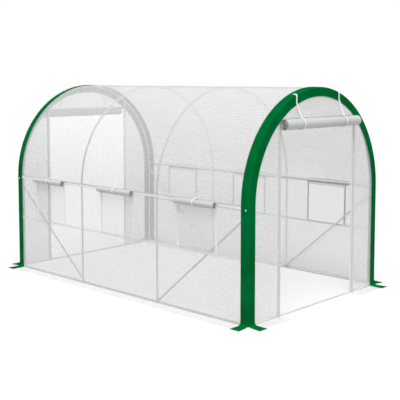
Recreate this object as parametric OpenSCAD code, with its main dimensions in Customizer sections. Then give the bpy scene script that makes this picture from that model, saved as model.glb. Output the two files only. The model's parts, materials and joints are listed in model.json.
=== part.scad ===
// Walk-in polytunnel greenhouse: a hooped tube frame under a fitted sheet cover, with a door that
// rolls up at each end and a row of netted windows with roll-up flaps along each side.
// The tunnel runs along Y, with its front door facing -Y. Z is up, and the origin is on the ground
// at the middle of the plan. All sizes are in millimetres.

/* [Tunnel] */
// Width over the cover
tunnel_w = 2000; // [1800:50:2400]
// Length over the cover
tunnel_l = 3350; // [2900:50:4400]
// Height of the shoulder, where the straight walls meet the round roof
shoulder_h = 1020; // [900:10:1300]
// Number of bays between the hoops
bays = 3; // [2:1:4]

/* [Frame] */
// Diameter of the hoops, rails, sills and door posts
tube_d = 20; // [16:1:28]
// Diameter of the diagonal braces
brace_d = 16; // [10:1:18]
// Height of the lower bolt of a brace
brace_foot_h = 20; // [20:5:150]
// Drop from the shoulder to the upper bolt of a brace
brace_top_drop = 60; // [40:5:120]
// Thickness of the flattened ends of a brace
paddle_t = 4; // [3:0.5:6]
// Width of the flattened ends of a brace, which is never more than the hoops' diameter
paddle_w = 20; // [14:1:24]
// Length of the flattened ends of a brace, from the bolt to the taper
paddle_l = 22; // [15:1:30]
// Length over which a brace tapers into its flattened end
paddle_taper = 26; // [15:1:40]

/* [Cover] */
// Thickness of the cover sheets
cover_t = 2; // [1:0.5:4]
// Width of the edge band on each side of the corner that it covers
band_w = 85; // [60:5:140]
// Thickness of the edge band
band_t = 2; // [1:0.5:4]
// Reach of the splayed tabs at the foot of the edge band
tab_l = 140; // [90:5:180]
// Flare of a tab at its free end, on the side of the tunnel's corner
tab_flare = 17; // [0:1:25]
// Radius of the bend where a tab turns out on to the ground
tab_bend_r = 30; // [15:5:50]
// Width of the flaps that lie on the ground outside the walls
flap_w = 118; // [60:2:180]
// Width of the sewn seam tapes
tape_w = 20; // [12:1:30]
// Thickness of the sewn seam tapes
tape_t = 1.5; // [1:0.5:3]

/* [Doors] */
// Clear width between the door posts
door_w = 1130; // [900:10:1200]
// Drop from the top of the tunnel to the seam that a door hangs from
door_top_drop = 270; // [240:10:360]
// Overlap of the door sheet past the clear width at each side
door_lap = 5; // [0:5:40]
// Distance that a rolled-up door and its ties hang to the left of the doorway's middle
door_shift = 25; // [0:5:60]
// Outer diameter of a rolled-up door
door_roll_d = 100; // [80:5:130]
// Radius of the hole in the middle of a rolled-up door
door_core_r = 12; // [8:1:20]
// Width of the zip tapes beside a doorway and over it
zip_w = 30; // [20:1:40]
// Thickness of the zip tapes
zip_t = 2; // [1:0.5:3]
// Distance of the door ties from the middle of the rolled-up door
tie_x = 330; // [200:5:400]
// Width of the door ties
tie_w = 18; // [12:1:30]
// Thickness of the ties
tie_t = 1.5; // [1:0.5:3]

/* [Windows] */
// Width of a window
window_w = 450; // [300:10:500]
// Height of the seam along the foot of the windows
window_seam_h = 565; // [450:5:700]
// Drop from the shoulder to the top of a window
window_top_drop = 55; // [45:5:90]
// Overlap of the net behind the edges of a window
net_lap = 15; // [8:1:25]
// Overlap of the window flap past the window at each side
flap_lap = 18; // [10:1:40]
// Outer diameter of a rolled-up window flap
window_roll_d = 58; // [44:1:80]
// Radius of the hole in the middle of a rolled-up window flap
window_core_r = 8; // [5:1:12]
// Rise of the top of a rolled-up window flap above the shoulder seam that the flap is sewn into
window_roll_rise = 16; // [0:1:18]
// Width of the loops that hold the window flaps up
loop_w = 14; // [8:1:24]
// Length of the part of a loop that is sewn to the roof above a rolled-up window flap
loop_anchor = 18; // [10:1:40]

/* [Fit] */
// Gap between pieces that seat on one another
seat = 0.3; // [0.1:0.1:0.6]
// Thickness of a sheet where it is rolled up
roll_t = 1.5; // [0.8:0.1:2]

/* [Hidden] */
$fn = 48;
// Facets in a full circle of the roof's large arcs
arch_fn = 240;
half_w = tunnel_w / 2;
half_l = tunnel_l / 2;
ridge_h = shoulder_h + half_w;

// Outer radius of the cover where it turns the corner round the tube of an end hoop
corner_r = tube_d / 2 + seat + cover_t;
hoop_r = half_w - corner_r;
end_hoop_y = half_l - corner_r;
hoop_pitch = 2 * end_hoop_y / bays;
rail_gap = tube_d / 2 + seat;
post_x = door_w / 2 + tube_d / 2;

// Inner face of the hoop legs, where the flattened brace ends bolt on
brace_x = hoop_r - tube_d / 2 - seat - paddle_t / 2;
brace_top_h = shoulder_h - brace_top_drop;
paddle_r = min(paddle_w, tube_d) / 2;

// Between these lines of Y the walls show, clear of the edge bands
show_l = half_l - band_w;
door_head_h = ridge_h - door_top_drop;
door_roll_l = door_w + 2 * door_lap;
door_sheet_l = door_head_h;
window_foot_h = window_seam_h + tape_w / 2;
window_top_h = shoulder_h - window_top_drop;
window_roll_l = window_w + 2 * flap_lap;
window_sheet_l = shoulder_h - window_seam_h;
window_roll_h = shoulder_h + window_roll_rise;

// Face that the rolled sheets hang against, measured out from the cover
door_seat = max(zip_t, band_t) + seat;
window_seat = tape_t + seat;

// Facets in one turn of a rolled sheet, and in the bend of a tie round a roll
turn_facets = 24;
wrap_facets = 20;
// Angle under the back of a roll where a tie ends
wrap_end = -150;
// Angles from a tight tie's first touch on a roll back to where the slack ties meet it
door_slack = 48;
loop_slack = 0;

frame_colour = "gainsboro";
film_colour = [0.93, 0.95, 0.94, 0.55];
roll_colour = "whitesmoke";
band_colour = [0.0, 0.42, 0.17];
net_colour = [0.85, 0.87, 0.86, 0.5];
tape_colour = "white";

// Y of a hoop, counted from the front
function hoop_y(i) = -end_hoop_y + i * hoop_pitch;

// Y of the middle of a window: the middle of the sheet that shows in its bay
function window_y(i) =
    (max(hoop_y(i), -show_l) + min(hoop_y(i + 1), show_l)) / 2;

// Height of the arch at a distance x from the middle, set in from the cover's outer face
function arch_z(x, inset) = shoulder_h + sqrt(pow(half_w - inset, 2) - x * x);

// Point on a circle
function polar(r, a) = r * [cos(a), sin(a)];

// Turns that a sheet of length l makes between two radii
function turns(l, r0, r1) = l / (PI * (r0 + r1));

// Side way of a path at its point i, square to the line through its neighbours
function side_way(path, i) =
    let (a = path[max(i - 1, 0)], b = path[min(i + 1, len(path) - 1)], d = (b - a) / norm(b - a))
    [-d[1], d[0]];

// Frames of the four walls: X runs out from the cover, Y along the wall and Z up
module on_right() { translate([half_w, 0, 0]) children(); }
module on_left() { mirror([1, 0, 0]) on_right() children(); }
module on_front() { rotate([0, 0, -90]) translate([half_l, 0, 0]) children(); }
module on_back() { mirror([0, 1, 0]) on_front() children(); }

// Stands a flat outline up across the tunnel, with its thickness along Y
module upright(t) { rotate([90, 0, 0]) linear_extrude(t, center = true) children(); }

// Stands a flat outline up in the frame of a wall, with its thickness out from x
module facing(x, t) { translate([x, 0, 0]) rotate([90, 0, 90]) linear_extrude(t) children(); }

// Sweeps a section up one leg of the end outline from a foot height, over the arch and down the
// other leg. The section's X runs out from the middle of the tunnel, and its Y out from the end.
module round_arch(foot) {
    translate([0, 0, shoulder_h]) rotate([90, 0, 90])
        rotate_extrude(angle = 180, $fn = arch_fn) children();
    for (s = [0, 1]) mirror([0, s, 0]) translate([0, 0, foot]) rotate([0, 0, -90])
        linear_extrude(shoulder_h - foot) children();
}

// Quarter of a ring, outwards from the corner between its centre's +X and +Y
module quarter_ring(r, t) {
    intersection() {
        difference() {
            circle(r + t);
            circle(r);
        }
        square(r + t);
    }
}

// Block between two corners
module block(low, high) { translate(low) cube(high - low); }

// Flat strip of a bent sheet, along a path of points
module ribbon(path, t) {
    last = len(path) - 1;
    polygon(concat(
        [for (i = [0 : last]) path[i] + side_way(path, i) * t / 2],
        [for (i = [last : -1 : 0]) path[i] - side_way(path, i) * t / 2]
    ));
}

// End outline of the tunnel, set in from the cover's outer face
module arch(inset) {
    r = half_w - inset;
    translate([-r, 0]) square([2 * r, shoulder_h]);
    translate([0, shoulder_h]) intersection() {
        circle(r, $fn = arch_fn);
        translate([-r, 0]) square([2 * r, r]);
    }
}

// Tube of one hoop's round top
module hoop_top(d) {
    translate([0, 0, shoulder_h]) rotate([90, 0, 0])
        rotate_extrude(angle = 180, $fn = arch_fn) translate([hoop_r, 0]) circle(d = d);
}

module hoop(y) {
    color(frame_colour) translate([0, y, 0]) {
        hoop_top(tube_d);
        for (s = [-1, 1]) translate([s * hoop_r, 0, 0]) cylinder(d = tube_d, h = shoulder_h);
    }
}

// Lengths of tube between the hoops
module rail(x, z) {
    color(frame_colour)
        for (i = [0 : bays - 1])
            translate([x, hoop_y(i) + rail_gap, z]) rotate([-90, 0, 0])
                cylinder(d = tube_d, h = hoop_pitch - 2 * rail_gap);
}

// Tube along the ground between the legs of an end hoop
module sill(y) {
    reach = hoop_r - rail_gap;
    color(frame_colour)
        translate([-reach, y, tube_d / 2]) rotate([0, 90, 0]) cylinder(d = tube_d, h = 2 * reach);
}

// Posts that stand on the sill, with their tops notched to fit under the hoop
module door_posts(y) {
    color(frame_colour) translate([0, y, 0])
        for (s = [-1, 1])
            difference() {
                intersection() {
                    translate([s * post_x, 0, tube_d + seat]) cylinder(d = tube_d, h = ridge_h);
                    upright(2 * tube_d) arch(half_w - hoop_r);
                }
                hoop_top(tube_d + 2 * seat);
            }
}

// End of a brace: a flattened paddle, rounded about its bolt, that tapers into the round tube
module brace_end() {
    rotate([0, 90, 0]) cylinder(r = paddle_r, h = paddle_t, center = true);
    hull() {
        translate([-paddle_t / 2, -paddle_r, 0]) cube([paddle_t, 2 * paddle_r, paddle_l]);
        translate([0, 0, paddle_l + paddle_taper]) cylinder(d = brace_d, h = paddle_t, $fn = 32);
    }
}

// Brace of one end bay, from the foot of the inner hoop to the shoulder of the end hoop
module brace(foot_y, top_y) {
    rise = [top_y - foot_y, brace_top_h - brace_foot_h];
    tube_start = paddle_l + paddle_taper;
    translate([brace_x, foot_y, brace_foot_h]) rotate([-atan2(rise[0], rise[1]), 0, 0]) {
        brace_end();
        translate([0, 0, norm(rise)]) mirror([0, 0, 1]) brace_end();
        translate([0, 0, tube_start]) cylinder(d = brace_d, h = norm(rise) - 2 * tube_start);
    }
}

module braces() {
    color(frame_colour) {
        brace(hoop_y(1), hoop_y(0));
        brace(hoop_y(bays - 1), hoop_y(bays));
    }
}

// Sheet over the round roof, from shoulder to shoulder
module roof_cover() {
    color(film_colour) translate([0, 0, shoulder_h]) upright(tunnel_l - 2 * corner_r)
        intersection() {
            difference() {
                circle(half_w, $fn = arch_fn);
                circle(half_w - cover_t, $fn = arch_fn);
            }
            translate([-half_w, 0]) square([tunnel_w, half_w]);
        }
}

// Strip of a side wall that holds the windows
module window_panel() {
    reach = half_l - corner_r;
    color(film_colour) difference() {
        block([-cover_t, -reach, window_seam_h], [0, reach, shoulder_h]);
        for (i = [0 : bays - 1]) translate([0, window_y(i), 0])
            block([-2 * cover_t, -window_w / 2, window_foot_h], [cover_t, window_w / 2, window_top_h]);
    }
}

// Strip of a side wall below the windows
module lower_panel() {
    reach = half_l - corner_r;
    color(film_colour) block([-cover_t, -reach, 0], [0, reach, window_seam_h]);
}

// End wall with its doorway, and a lip that turns the corner round the tube of the end hoop
module end_wall() {
    color(film_colour) {
        facing(-cover_t, cover_t) difference() {
            arch(corner_r);
            translate([-door_w / 2, -zip_w]) square([door_w, door_head_h]);
        }
        round_arch(0) translate([hoop_r, -corner_r]) quarter_ring(corner_r - cover_t, cover_t);
    }
}

// Section of the band that is folded over the corner between the roof and an end wall
module band_section() {
    translate([hoop_r, -corner_r]) quarter_ring(corner_r, band_t);
    translate([half_w - band_w, 0]) square([band_w - corner_r, band_t]);
    translate([half_w, -band_w]) square([band_t, band_w - corner_r]);
}

module edge_band() { color(band_colour) round_arch(tab_bend_r + band_t) band_section(); }

// Tab: a bend out from the wall, then a run on the ground that flares towards +Y
module tab() {
    bend = tab_bend_r + band_t;
    edge = band_w / 2;
    upright(band_w) translate([bend, bend]) rotate(180) quarter_ring(tab_bend_r, band_t);
    linear_extrude(band_t)
        polygon([[bend, -edge], [tab_l, -edge], [tab_l, edge + tab_flare], [bend, edge]]);
}

// Two tabs at each foot of an edge band: one out along X, and one out along Y
module corner_tabs() {
    color(band_colour) for (s = [0, 1]) mirror([0, s, 0]) {
        translate([0, half_w - band_w / 2, 0]) tab();
        translate([-band_w / 2, half_w, 0]) rotate([0, 0, 90]) mirror([0, 1, 0]) tab();
    }
}

// Flap on the ground along a side wall
module side_flap() {
    reach = show_l - seat;
    color(film_colour) block([0, -reach, 0], [flap_w, reach, cover_t]);
}

// Flaps on the ground beside a doorway
module end_flaps() {
    color(film_colour)
        for (s = [0, 1]) mirror([0, s, 0])
            block([0, door_w / 2, 0], [flap_w, half_w - band_w - seat, cover_t]);
}

// Tapes along the shoulder and the foot of the windows, and up the sides of each window
module wall_tapes() {
    reach = show_l - seat;
    color(tape_colour) {
        for (z = [window_foot_h - tape_w, shoulder_h - tape_w])
            block([0, -reach, z], [tape_t, reach, z + tape_w]);
        for (i = [0 : bays - 1]) translate([0, window_y(i), 0])
            for (s = [0, 1]) mirror([0, s, 0])
                block([0, window_w / 2, window_foot_h - tape_w],
                      [tape_t, window_w / 2 + tape_w, shoulder_h]);
    }
}

// Nets behind the windows, against the inside of the wall
module window_nets() {
    reach = window_w / 2 + net_lap;
    color(net_colour)
        for (i = [0 : bays - 1]) translate([0, window_y(i), 0])
            block([-2 * cover_t, -reach, window_foot_h - net_lap],
                  [-cover_t, reach, window_top_h + net_lap]);
}

// Section of a sheet that hangs from a seam and is rolled up outwards: it comes down the wall,
// passes behind and under the roll and winds inwards. X is out from the sheet's own back face, and
// the top of the roll is at height 0, risen that far above the seam.
module rolled_section(sheet_l, roll_d, core_r, rise = 0) {
    outer_r = roll_d / 2 - roll_t / 2;
    wound = turns(sheet_l, core_r, outer_r);
    steps = ceil(wound * turn_facets);
    centre = [roll_d / 2, -roll_d / 2];
    spiral = [for (k = [0 : steps])
        centre + polar(outer_r + (core_r - outer_r) * k / steps, 180 + 360 * wound * k / steps)];
    ribbon(concat([[roll_t / 2, -rise]], spiral), roll_t);
}

// Section of a tie: down a wall face, out over the front of a roll and round under it.
// The roll hangs from height 0, with its back at roll_x.
module tie_section(face_x, top_z, leave_z, roll_x, roll_d, slack) {
    centre = [roll_x + roll_d / 2, -roll_d / 2];
    wrap_r = roll_d / 2 + seat + tie_t / 2;
    line_x = face_x + seat + tie_t / 2;
    away = [line_x, leave_z] - centre;
    wrap_start = atan2(away[1], away[0]) - acos(wrap_r / norm(away)) + slack;
    ribbon(concat(
        [[line_x, top_z], [line_x, leave_z]],
        [for (k = [0 : wrap_facets])
            centre + polar(wrap_r, wrap_start + (wrap_end - wrap_start) * k / wrap_facets)]
    ), tie_t);
}

// Window flaps rolled up outside the wall, over the shoulder seam
module window_rolls() {
    color(roll_colour)
        for (i = [0 : bays - 1])
            translate([window_seat, window_y(i), window_roll_h]) upright(window_roll_l)
                rolled_section(window_sheet_l, window_roll_d, window_core_r, window_roll_rise);
}

// Loops sewn to the roof above each rolled window flap that hold up its middle
module roll_loops() {
    color(tape_colour)
        for (i = [0 : bays - 1]) translate([0, window_y(i), window_roll_h]) upright(loop_w)
            tie_section(0, loop_anchor, tape_t + tie_t, window_seat, window_roll_d, loop_slack);
}

// Zip tapes up both sides of a doorway, and the tape over it that the door is sewn to. They stop
// at the edge band.
module door_zip() {
    half_zip = door_w / 2 + zip_w;
    zip_top = door_head_h - zip_w - seat;
    color(tape_colour) facing(0, zip_t) intersection() {
        arch(band_w + seat);
        union() {
            for (s = [0, 1]) mirror([s, 0]) translate([door_w / 2, 0]) square([zip_w, zip_top]);
            translate([-half_zip, door_head_h - zip_w]) square([2 * half_zip, zip_w]);
        }
    }
}

// Door sheet rolled up outside the end wall
module door_roll() {
    color(roll_colour) translate([door_seat, -door_shift, door_head_h]) upright(door_roll_l)
        rolled_section(door_sheet_l, door_roll_d, door_core_r);
}

// Ties from the outer edge of the band, down over it and round the rolled door
module door_ties() {
    color(tape_colour)
        for (s = [-1, 1]) {
            y = s * tie_x - door_shift;
            top = arch_z(abs(y) + tie_w / 2, corner_r) - door_head_h;
            leave = arch_z(y, band_w) - door_head_h;
            translate([0, y, door_head_h]) upright(tie_w)
                tie_section(band_t, top, leave, door_seat, door_roll_d, door_slack);
        }
}

hoop(hoop_y(0));  // front_hoop
for (i = [1 : bays - 1]) hoop(hoop_y(i));  // middle_hoops
hoop(hoop_y(bays));  // back_hoop
rail(0, shoulder_h + hoop_r);  // ridge_rail
rail(-hoop_r, shoulder_h);  // left_shoulder_rail
rail(hoop_r, shoulder_h);  // right_shoulder_rail
rail(-hoop_r, tube_d / 2);  // left_ground_rail
rail(hoop_r, tube_d / 2);  // right_ground_rail
sill(-end_hoop_y);  // front_sill
sill(end_hoop_y);  // back_sill
door_posts(-end_hoop_y);  // front_door_posts
door_posts(end_hoop_y);  // back_door_posts
mirror([1, 0, 0]) braces();  // left_braces
braces();  // right_braces
roof_cover();
on_left() window_panel();  // left_window_panel
on_right() window_panel();  // right_window_panel
on_left() lower_panel();  // left_lower_panel
on_right() lower_panel();  // right_lower_panel
on_front() end_wall();  // front_wall
on_back() end_wall();  // back_wall
on_front() edge_band();  // front_edge_band
on_back() edge_band();  // back_edge_band
on_front() corner_tabs();  // front_corner_tabs
on_back() corner_tabs();  // back_corner_tabs
on_left() side_flap();  // left_ground_flap
on_right() side_flap();  // right_ground_flap
on_front() end_flaps();  // front_ground_flaps
on_back() end_flaps();  // back_ground_flaps
on_left() wall_tapes();  // left_wall_tapes
on_right() wall_tapes();  // right_wall_tapes
on_left() window_nets();  // left_window_nets
on_right() window_nets();  // right_window_nets
on_left() window_rolls();  // left_window_rolls
on_right() window_rolls();  // right_window_rolls
on_left() roll_loops();  // left_roll_loops
on_right() roll_loops();  // right_roll_loops
on_front() door_zip();  // front_door_zip
on_back() door_zip();  // back_door_zip
on_front() door_roll();  // front_door_roll
on_back() door_roll();  // back_door_roll
on_front() door_ties();  // front_door_ties
on_back() door_ties();  // back_door_ties
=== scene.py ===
import json
import logging
import math
from abc import ABC, abstractmethod
from collections.abc import Callable, Iterable, Sequence
from dataclasses import dataclass
from enum import Enum
from itertools import pairwise

import bmesh
import bpy
from bmesh.types import BMEdge, BMesh, BMVert
from mathutils import Matrix, Vector, noise


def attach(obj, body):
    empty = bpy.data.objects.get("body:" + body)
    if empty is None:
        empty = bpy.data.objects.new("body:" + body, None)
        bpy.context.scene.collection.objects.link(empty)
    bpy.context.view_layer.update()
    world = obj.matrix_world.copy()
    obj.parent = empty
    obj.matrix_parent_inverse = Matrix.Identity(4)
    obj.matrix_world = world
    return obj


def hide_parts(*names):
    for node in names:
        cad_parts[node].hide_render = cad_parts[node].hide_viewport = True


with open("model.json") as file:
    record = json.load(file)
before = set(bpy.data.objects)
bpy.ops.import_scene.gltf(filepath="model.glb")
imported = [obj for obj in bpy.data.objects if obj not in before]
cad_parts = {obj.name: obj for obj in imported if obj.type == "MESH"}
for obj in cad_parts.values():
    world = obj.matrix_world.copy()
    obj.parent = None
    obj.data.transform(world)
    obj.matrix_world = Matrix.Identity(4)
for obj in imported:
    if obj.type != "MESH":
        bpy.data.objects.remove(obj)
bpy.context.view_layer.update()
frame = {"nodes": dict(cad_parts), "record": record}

log = logging.getLogger("polytunnel")

Colour = tuple[float, float, float, float]
Inputs = dict[str | int, object]
Point = tuple[float, float]

CUT_MAP = "cut"
FINER = 2.7
HANDS = (("left", -1), ("right", 1))
LINE_EDGE = (0.75, 0.35)
SHARP_ANGLE = math.radians(40)
STRAP_END = math.radians(-150)
TURN_APART = 3.7
UNMOVED = Matrix()
WHITE: Colour = (1.0, 1.0, 1.0, 1.0)


class Wall(Enum):
    """Walls, each with the turn about Z of the frame that it is built in."""

    LEFT = math.pi
    RIGHT = 0.0
    FRONT = -math.pi / 2
    BACK = math.pi / 2


SIDES = (Wall.LEFT, Wall.RIGHT)
ENDS = (Wall.FRONT, Wall.BACK)


class Held(Enum):
    STRETCHED = "stretched"
    LAID = "laid"
    FOLDED = "folded"
    HUNG = "hung"


class Slot(Enum):
    """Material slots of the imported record."""

    TUBE = "frame_tube"
    FILM = "cover_film"
    BAND = "edge_band"
    NET = "window_net"
    TAPE = "tape"


# Shader maths


class Value:
    """An output of a node, which changes over a surface and takes part in sums."""

    def __init__(self, shader: "Shader", node: bpy.types.Node, output: int | str = 0) -> None:
        """Keep the node and which of its outputs is meant."""
        self.shader, self.node, self.output = shader, node, output

    @property
    def socket(self) -> bpy.types.NodeSocket:
        """The output itself."""
        return Shader.pick(self.node.outputs, self.output)

    def also(self, output: str) -> "Value":
        """Another output of the same node."""
        return Value(self.shader, self.node, output)

    def sum(self, operation: str, *terms: "Value | float") -> "Value":
        """Result of a Math node on these terms."""
        return self.shader.node("ShaderNodeMath", {"operation": operation}, dict(enumerate(terms)))

    def __add__(self, other: "Value | float") -> "Value":
        """Sum of two values."""
        return self.sum("ADD", self, other)

    def __sub__(self, other: "Value | float") -> "Value":
        """Difference of two values."""
        return self.sum("SUBTRACT", self, other)

    def __rsub__(self, other: float) -> "Value":
        """Difference of a number and a value."""
        return self.sum("SUBTRACT", other, self)

    def __mul__(self, other: "Value | float") -> "Value":
        """Product of two values."""
        return self.sum("MULTIPLY", self, other)

    def __or__(self, other: "Value | float") -> "Value":
        """The larger of two values, which joins two masks."""
        return self.sum("MAXIMUM", self, other)

    def __mod__(self, pitch: float) -> "Value":
        """What is left of a value after whole pitches, never below 0."""
        return self.sum("FLOORED_MODULO", self, pitch)

    def __abs__(self) -> "Value":
        """Size of a value without its sign."""
        return self.sum("ABSOLUTE", self)

    __radd__, __rmul__, __ror__ = __add__, __mul__, __or__


class Shader:
    """Node tree of one material or world."""

    def __init__(self, owner: bpy.types.Material | bpy.types.World) -> None:
        """Start an empty tree.

        Args:
            owner: The material or world.
        """
        owner.use_nodes = True
        self.tree = owner.node_tree
        self.tree.nodes.clear()

    def node(
        self,
        kind: str,
        settings: dict[str, object] | None = None,
        inputs: Inputs | None = None,
        output: int | str = 0,
    ) -> Value:
        """Add a node.

        Args:
            kind: The node's type.
            settings: Its own settings, which are set first.
            inputs: Values or plain numbers for its sockets, by name, identifier or place.
            output: The output that is wanted, by name, identifier or place.

        Returns:
            That output.
        """
        made = self.tree.nodes.new(kind)
        for name, setting in (settings or {}).items():
            setattr(made, name, setting)
        for key, given in (inputs or {}).items():
            socket = self.pick(made.inputs, key)
            if isinstance(given, Value):
                self.tree.links.new(given.socket, socket)
            else:
                socket.default_value = given
        return Value(self, made, output)

    @staticmethod
    def pick(sockets: Sequence[bpy.types.NodeSocket], key: int | str) -> bpy.types.NodeSocket:
        """A socket by its place, identifier or name."""
        named = (s for s in sockets if key in (s.identifier, s.name))
        return sockets[key] if isinstance(key, int) else next(named)

    def spot(self) -> Value:
        """Object coordinates."""
        return self.node("ShaderNodeTexCoord", output="Object")

    def axes(self, vector: Value) -> Value:
        """X of a vector, whose Y and Z are the same node's other outputs."""
        return self.node("ShaderNodeSeparateXYZ", inputs={0: vector})

    def cut(self) -> tuple[Value, Value]:
        """Place on the flat cut, in metres across and along."""
        across = self.axes(self.node("ShaderNodeUVMap", {"uv_map": CUT_MAP}))
        return across, across.also("Y")

    def cloud(self, scale: float, detail: float) -> Value:
        """Soft noise from 0 to 1 with blotches about 1 / scale metres across."""
        inputs = {"Vector": self.spot(), "Scale": scale, "Detail": detail}
        return self.node("ShaderNodeTexNoise", inputs=inputs)

    def ease(self, value: Value, low: float, high: float) -> Value:
        """Smooth step from 0 at low to 1 at high."""
        inputs = {"Value": value, "From Min": low, "From Max": high}
        return self.node("ShaderNodeMapRange", {"interpolation_type": "SMOOTHSTEP"}, inputs)

    def lines(self, across: Value, pitch: float, width: float) -> Value:
        """Mask of parallel lines, 1 on a line and 0 between lines."""
        away = abs(across % pitch - pitch / 2)
        return self.ease(away, *(share * width for share in LINE_EDGE))

    def grid(self, pitch: float, width: float) -> Value:
        """Mask of lines both ways on the flat cut."""
        across, along = self.cut()
        return self.lines(across, pitch, width) | self.lines(along, pitch, width)

    def blend(self, mask: Value, under: Value | Colour, over: Value | Colour) -> Value:
        """Colour that goes from one to another as the mask goes from 0 to 1."""
        inputs = {"Factor_Float": mask, "A_Color": under, "B_Color": over}
        return self.node("ShaderNodeMix", {"data_type": "RGBA"}, inputs, "Result_Color")

    def vector(self, operation: str, *terms: Value) -> Value:
        """Number that a Vector Math node gives for these vectors."""
        inputs = dict(enumerate(terms))
        return self.node("ShaderNodeVectorMath", {"operation": operation}, inputs, "Value")

    def relief(self, height: Value, depth: float, strength: float) -> Value:
        """Normal of a surface with a height from 0 to 1 times depth in metres."""
        inputs = {"Height": height, "Distance": depth, "Strength": strength}
        return self.node("ShaderNodeBump", inputs=inputs)

    def mix(self, factor: Value | float, under: Value, over: Value) -> Value:
        """Shader that goes from one to another as the factor goes from 0 to 1."""
        return self.node("ShaderNodeMixShader", inputs={0: factor, 1: under, 2: over})

    def seen(self) -> Value:
        """1 for rays that show the background: straight, mirrored or through clear things."""
        path = self.node("ShaderNodeLightPath", output="Is Camera Ray")
        return path | path.also("Is Glossy Ray") | path.also("Is Transmission Ray")

    def surface(self, shader: Value, output: str = "ShaderNodeOutputMaterial") -> None:
        """Make a shader the one that shows."""
        self.node(output, inputs={"Surface": shader})


@dataclass(frozen=True)
class Dress:
    """A material and the record's slot that it belongs to."""

    material: bpy.types.Material
    slot: Slot


@dataclass(frozen=True)
class Finish(ABC):
    """The finish of some pieces, with the record's slot that they belong to."""

    name: str
    slot: Slot

    @abstractmethod
    def paint(self, s: Shader) -> Inputs:
        """Values for the sockets of a Principled shader."""

    def dress(self) -> Dress:
        """Make the material.

        Returns:
            The material with its slot.
        """
        material = bpy.data.materials.new(self.name)
        s = Shader(material)
        s.surface(s.node("ShaderNodeBsdfPrincipled", inputs=self.paint(s)))
        return Dress(material, self.slot)


@dataclass(frozen=True)
class FilmFinish(Finish):
    """See-through woven sheet with a grid of stronger threads."""

    slot: Slot = Slot.FILM
    tint: Colour = (0.9, 0.905, 0.903, 1.0)
    thread_tint: Colour = (0.94, 0.945, 0.942, 1.0)
    opacity: float = 0.22
    thread_opacity: float = 0.42
    pitch: float = 0.02
    thread: float = 0.004
    weave: float = 0.005

    def paint(self, s: Shader) -> Inputs:
        """Threads on the flat cut, and a faint cloudiness.

        Args:
            s: The material's nodes.

        Returns:
            Values for the sockets of a Principled shader.
        """
        grid = s.grid(self.pitch, self.thread)
        threads = grid | s.grid(self.weave, self.weave / 3) * 0.35
        cloud = s.cloud(scale=2.2, detail=3.0)
        stronger = self.thread_opacity - self.opacity
        return {
            "Base Color": s.blend(threads, self.tint, self.thread_tint),
            "Roughness": 0.34 + 0.16 * cloud - 0.06 * grid,
            "Alpha": self.opacity * (0.85 + 0.3 * cloud) + stronger * threads,
            "Normal": s.relief(threads + 0.6 * cloud, depth=0.0006, strength=0.35),
        }


@dataclass(frozen=True)
class BandFinish(Finish):
    """Green woven tape with sewn hems, a little faded on its blotches."""

    name: str = "edge_band_green"
    slot: Slot = Slot.BAND
    deep: Colour = (0.0005, 0.13, 0.028, 1.0)
    faded: Colour = (0.0008, 0.178, 0.043, 1.0)
    stitch_tint: Colour = (0.004, 0.16, 0.045, 1.0)
    weave: float = 0.003
    thread: float = 0.0018
    width: float = 0.17
    hem: float = 0.010
    stitch: float = 0.007
    row_edge: Point = (0.0008, 0.0016)
    gap_edge: Point = (0.0004, 0.001)

    def paint(self, s: Shader) -> Inputs:
        """A fine weave, a row of stitches along each hem and soft blotches.

        Args:
            s: The material's nodes.

        Returns:
            Values for the sockets of a Principled shader.
        """
        across, along = s.cut()
        weft, warp = (s.lines(way, self.weave, self.thread) for way in (across, along))
        weave = 0.5 * weft + 0.5 * warp
        from_edge = self.width / 2 - abs(across - self.width / 2)
        row = 1 - s.ease(abs(from_edge - self.hem), *self.row_edge)
        stitches = row * s.ease(abs(along % self.stitch - self.stitch / 2), *self.gap_edge)
        blotch = s.cloud(scale=5.0, detail=4.0)
        tone = s.blend(s.ease(blotch, 0.3, 0.75), self.deep, self.faded)
        return {
            "Base Color": s.blend(stitches, tone, self.stitch_tint),
            "Roughness": 0.55 + 0.2 * blotch + 0.1 * weave,
            "Specular IOR Level": 0.0,
            "Normal": s.relief(0.5 * weave + stitches + 0.8 * blotch, depth=0.0012, strength=0.4),
        }


@dataclass(frozen=True)
class TapeFinish(Finish):
    """White ribbed tape, sewn down along both edges."""

    slot: Slot = Slot.TAPE
    tint: Colour = (0.97, 0.972, 0.97, 1.0)
    shade: Colour = (0.88, 0.885, 0.88, 1.0)
    opacity: float = 1.0
    rib: float = 0.0024
    stitch: float = 0.006
    row: float = 0.0125
    row_thread: float = 0.0014

    def paint(self, s: Shader) -> Inputs:
        """Ribs across the tape, with painted shade in the grooves between them, rows of stitches
        and slight soiling.

        Args:
            s: The material's nodes.

        Returns:
            Values for the sockets of a Principled shader.
        """
        across, along = s.cut()
        ribs = s.lines(along, self.rib, 0.6 * self.rib)
        rows = s.lines(across, self.row, self.row_thread)
        stitches = s.lines(along, self.stitch, 0.6 * self.stitch) * rows
        soil = s.ease(s.cloud(scale=9.0, detail=4.0), 0.45, 0.85)
        return {
            # The tape is darker where soiled and, as painted shade, in the grooves between the
            # ribs.
            "Base Color": s.blend(0.5 * soil + 0.25 * (1 - ribs), self.tint, self.shade),
            "Roughness": 0.55 + 0.2 * soil,
            "Alpha": self.opacity,
            "Normal": s.relief(0.5 * ribs + stitches, depth=0.0008, strength=0.5),
        }


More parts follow.
